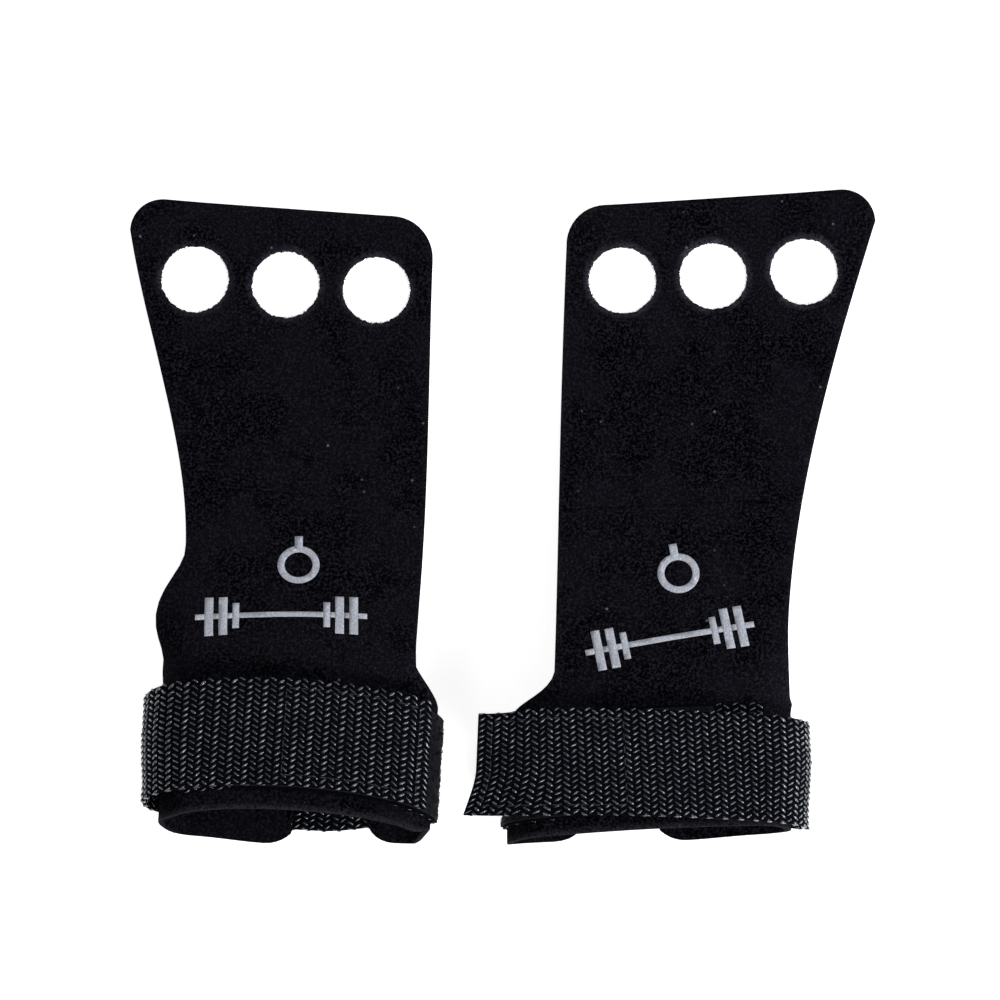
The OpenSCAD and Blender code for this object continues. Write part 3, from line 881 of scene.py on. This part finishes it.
def stitchPiece(grip, name, runs, s0, s1, face, isTail):
    bm = bmesh.new()
    bmesh.ops.create_uvsphere(bm, u_segments=10, v_segments=6, radius=0.5, matrix=Matrix.Diagonal(
        (stitch["length"], stitch["thread"], stitch["thread"], 1)) @ Matrix.Rotation(pi / 2, 4, "Y"))
    unit = meshOf(bm, name + "Unit")
    half = strap["width"] / 2 - stitch["inset"]
    across = Matrix.Rotation(pi / 2, 4, "Z")
    count = int((s1 - s0) / stitch["pitch"])
    matrices = []
    for i in range(count):
        s = mix(s0, s1, (i + 0.5) / count)
        matrices += [Matrix.Translation((s, middleV(v), face)) for v in (-half, half)]
    count = int(2 * half / stitch["pitch"])
    for i in range(count):
        v = middleV(mix(-half, half, (i + 0.5) / count))
        matrices += [Matrix.Translation((s, v, face)) @ across for s in (s0, s1)]
    bm = scatter(unit, matrices)
    bpy.data.meshes.remove(unit)
    bendOn(bm, lambda s, v, h: strapPoint(grip, runs, s, v, h, isTail))
    return finishPiece(grip, name, bm, threadMaterial)


emblem = {"ringD": 12.6, "ringWidth": 2.1, "strapWidth": 2.4, "strapHeight": 4.2, "barLength": 51.0,
          "barHeight": 1.8, "plates": ((4, 13, 2.6), (8.2, 13, 2.6), (12, 8.8, 2)), "ink": 0.12}


def boxFace(bm, cx, cy, width, height):
    return bmesh.ops.create_grid(bm, x_segments=1, y_segments=1, size=0.5, matrix=Matrix.Translation(
        (cx, cy, 0)) @ Matrix.Diagonal((width, height, 1, 1)))["verts"]


def emblemPiece(grip, name):
    bm = bmesh.new()
    tilt = Matrix.Rotation(radians(grip["barTilt"]), 4, "Z")
    outer, inner = emblem["ringD"] / 2, emblem["ringD"] / 2 - emblem["ringWidth"]
    ring = bmesh.ops.create_circle(bm, segments=64, radius=outer)["verts"]
    ring += bmesh.ops.create_circle(bm, segments=64, radius=inner)["verts"]
    bmesh.ops.bridge_loops(bm, edges=bm.edges[:])
    ring += boxFace(bm, 0, outer - emblem["ringWidth"] / 2 + emblem["strapHeight"] / 2,
                    emblem["strapWidth"], emblem["strapHeight"])
    bmesh.ops.transform(bm, matrix=Matrix.Translation((*grip["ring"], 0)) @ tilt, verts=ring)
    end = emblem["barLength"] / 2
    inside = end - emblem["plates"][-1][0] - emblem["plates"][-1][2] / 2
    bar = boxFace(bm, 0, 0, 2 * inside, emblem["barHeight"])
    for side in (-1, 1):
        reached = 0
        for inset, height, width in emblem["plates"]:
            bar += boxFace(bm, side * (end - inset), 0, width, height)
            gap = inset - width / 2 - reached
            bar += boxFace(bm, side * (end - reached - gap / 2), 0, gap, emblem["barHeight"])
            reached = inset + width / 2
    bmesh.ops.transform(bm, matrix=Matrix.Translation((*grip["bar"], 0)) @ tilt, verts=bar)
    for face in bm.faces:
        if face.normal.z < 0:
            face.normal_flip()
    step = 1.6
    for normal, count in (((1, 0, 0), 60), ((0, 1, 0), 60)):
        for i in range(-count // 2, count // 2 + 10):
            point = tuple(n * i * step for n in normal)
            bmesh.ops.bisect_plane(bm, geom=bm.verts[:] + bm.edges[:] + bm.faces[:], dist=0.005,
                                   plane_co=point, plane_no=normal)
    storeFlat(bm)
    lower = bm.verts[:]
    made = bmesh.ops.extrude_face_region(bm, geom=bm.faces[:])
    upper = [v for v in made["geom"] if isinstance(v, bmesh.types.BMVert)]
    flatten = cos(atan(grip["slope"]))
    face = cuff["leather"] / 2
    for verts, h in ((lower, face - 0.06), (upper, face + emblem["ink"])):
        for vert in verts:
            vert.co = leatherPoint(grip, vert.co.x, creaseY + vert.co.y * flatten, h)
    return finishPiece(grip, name, bm, inkMaterial)


fuzz = {"perHole": 230, "long": 0.75, "thick": 0.11}


def fuzzPiece(grip, name):
    bm = bmesh.new()
    bmesh.ops.create_cone(bm, cap_ends=True, segments=3, radius1=fuzz["thick"], radius2=0.012, depth=1,
                          matrix=Matrix.Translation((0, 0, 0.5)))
    unit = meshOf(bm, name + "Unit")
    rng = random.Random(grip["seed"] + 11)
    matrices = []
    for cx, cy in holeCentres(grip):
        for _ in range(fuzz["perHole"]):
            a = rng.uniform(0, 2 * pi)
            r = hand["holeD"] / 2 + 0.12
            start = leatherPoint(grip, cx + r * cos(a), cy + r * sin(a), rng.uniform(-0.8, 0.5))
            way = Vector((-cos(a) + rng.gauss(0, 0.5), -sin(a) + rng.gauss(0, 0.5), rng.gauss(0, 0.3)))
            turn = way.to_track_quat("Z", "Y").to_matrix().to_4x4()
            size = rng.uniform(0.3, 1) * fuzz["long"] + 0.1
            matrices.append(Matrix.Translation(start) @ turn @ Matrix.Diagonal((1, 1, size, 1)))
    bm = scatter(unit, matrices)
    bpy.data.meshes.remove(unit)
    return finishPiece(grip, name, bm, suedeMaterial)


for side, grip in grips.items():
    cuffBody, palmBody = side + "_cuff", side + "_palm"
    fingerBody, strapBody = side + "_fingers", side + "_strap"
    print("leather,", side)
    wrist, flat, area = makeLeather(grip, "wrist")
    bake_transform(wrist, cuffBody, palmBody, start=spot(grip, 0, creaseY - 1, frontZ),
             end=spot(grip, 0, creaseY + 12, frontZ))
    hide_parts(side + "_wrist_leather", side + "_palm_leather")
    fingers, flat, area = makeLeather(grip, "hand")
    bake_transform(fingers, palmBody, fingerBody, start=spot(grip, 0, grip["foldY"] - 8, 1),
             end=spot(grip, 0, grip["foldY"] + 8, 1))
    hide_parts(side + "_finger_leather")
    holeFuzz = fuzzPiece(grip, side + "_hole_fuzz")
    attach(holeFuzz, fingerBody)
    printed = emblemPiece(grip, side + "_ring_and_barbell_print")
    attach(printed, palmBody)
    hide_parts(side + "_printed_emblem")

    print("strap,", side)
    band, tail = bandRuns(), tailRuns(grip)
    bandLength, tailLength = runLength(band), runLength(tail)
    half = webbing["core"] / 2
    core = strap["width"] - 2 * webbing["selvage"]
    loop0 = strap["loopStart"] - strap["bandStart"]
    roundFold = pi / 2 + asin(strap["loopDrop"] / (cuff["foldR"] + loopT))
    loop1 = band[0][0] + (cuff["foldR"] + bandT) * roundFold
    hook1 = tailLength - strap["tailTip"]
    hook0 = hook1 - strap["hookLength"]
    # The band's core is painted near-black as the shade between the yarns.
    bandCore = stripPiece(grip, side + "_band_webbing", band, 0, bandLength, core, -half, half, False,
                          shadedGroundMaterial, 0.3)
    bandYarns = yarnPiece(grip, side + "_band_yarns", band, [(0, loop0, 1), (loop1, bandLength, 1),
                                                             (band[0][0], bandLength, -1)], False)
    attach(bandCore, cuffBody)
    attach(bandYarns, cuffBody)
    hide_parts(side + "_strap_band")
    # The tail's core is painted near-black as the shade between the yarns.
    tailCore = stripPiece(grip, side + "_tail_webbing", tail, 0, tailLength, core, -half, half, True,
                          shadedGroundMaterial, 0.3)
    tailYarns = yarnPiece(grip, side + "_tail_yarns", tail, [(0, tailLength, 1), (0, hook0, -1),
                                                             (hook1, tailLength, -1)], True)
    for piece in (tailCore, tailYarns):
        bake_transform(piece, cuffBody, strapBody, start=spot(grip, hingeX, 0, hingeZ),
                 end=spot(grip, hingeX + 2, 0, hingeZ + 7))
    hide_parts(side + "_strap_tail")

    print("tapes and stitches,", side)
    tapeWidth = strap["width"] - 2 * strap["tapeEdge"]
    outer = cuff["web"] / 2
    loopBack = stripPiece(grip, side + "_loop_tape_back", band, loop0, loop1, tapeWidth, outer - 0.1,
                          outer + 0.45, False, loopMaterial, 0.15)
    loopFace = loopPiece(grip, side + "_loop_pile", band, loop0, loop1, outer + 0.4)
    hookBack = stripPiece(grip, side + "_hook_tape_back", tail, hook0, hook1, tapeWidth, -outer - 0.45,
                          -outer + 0.1, True, hookMaterial, 0.15)
    hookFace = hookPiece(grip, side + "_hook_pile", tail, hook0, hook1, -outer - 0.4)
    for piece, body in ((loopBack, cuffBody), (loopFace, cuffBody), (hookBack, strapBody),
                        (hookFace, strapBody)):
        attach(piece, body)
    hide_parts(side + "_loop_tape")
    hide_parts(side + "_hook_tape")
    seams = (("anchor", band, 1.4, loop0 - 1.4, outer, False), ("loop", band, loop0 + 1.4, band[0][0] - 1,
             outer + 0.7, False), ("hook", tail, hook0 + 1.2, hook1 - 1.2, outer + 0.08, True))
    for seam, runs, s0, s1, face, isTail in seams:
        thread = stitchPiece(grip, side + "_" + seam + "_thread", runs, s0, s1, face, isTail)
        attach(thread, strapBody if isTail else cuffBody)
        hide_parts(side + "_" + seam + "_stitching")

floorMesh = bpy.data.meshes.new("floor")
bm = bmesh.new()
bmesh.ops.create_grid(bm, x_segments=1, y_segments=1, size=3)
bmesh.ops.translate(bm, verts=bm.verts, vec=(0, 0, -0.0006))
bm.to_mesh(floorMesh)
bm.free()
floorMaterial, tree, shader = newMaterial("paleFloor", 0.9, 0.1)
shader.inputs["Base Color"].default_value = (0.93, 0.93, 0.93, 1)
shader.inputs["Emission Color"].default_value = (1, 1, 1, 1)
shader.inputs["Emission Strength"].default_value = 0.75
floorMesh.materials.append(floorMaterial)
floor = bpy.data.objects.new("floor", floorMesh)
bpy.context.scene.collection.objects.link(floor)

world = bpy.data.worlds.new("studio")
bpy.context.scene.world = world
world.use_nodes = True
world.node_tree.nodes["Background"].inputs["Color"].default_value = (1, 1, 1, 1)
world.node_tree.nodes["Background"].inputs["Strength"].default_value = 0.35


def softbox(name, place, width, height, radiance):
    light = bpy.data.lights.new(name, "AREA")
    light.shape = "RECTANGLE"
    light.size, light.size_y = width, height
    light.energy = radiance * pi * width * height
    lamp = bpy.data.objects.new(name, light)
    lamp.location = place
    lamp.rotation_euler = (-Vector(place)).to_track_quat("-Z", "Y").to_euler()
    bpy.context.scene.collection.objects.link(lamp)


softbox("keyFront", (0.62, -0.95, 0.85), 0.36, 0.36, 36.0)
softbox("rightSide", (1.1, 0.1, 0.5), 0.3, 0.6, 14.0)
softbox("backLeft", (-0.7, 0.9, 0.9), 0.5, 0.5, 3.0)
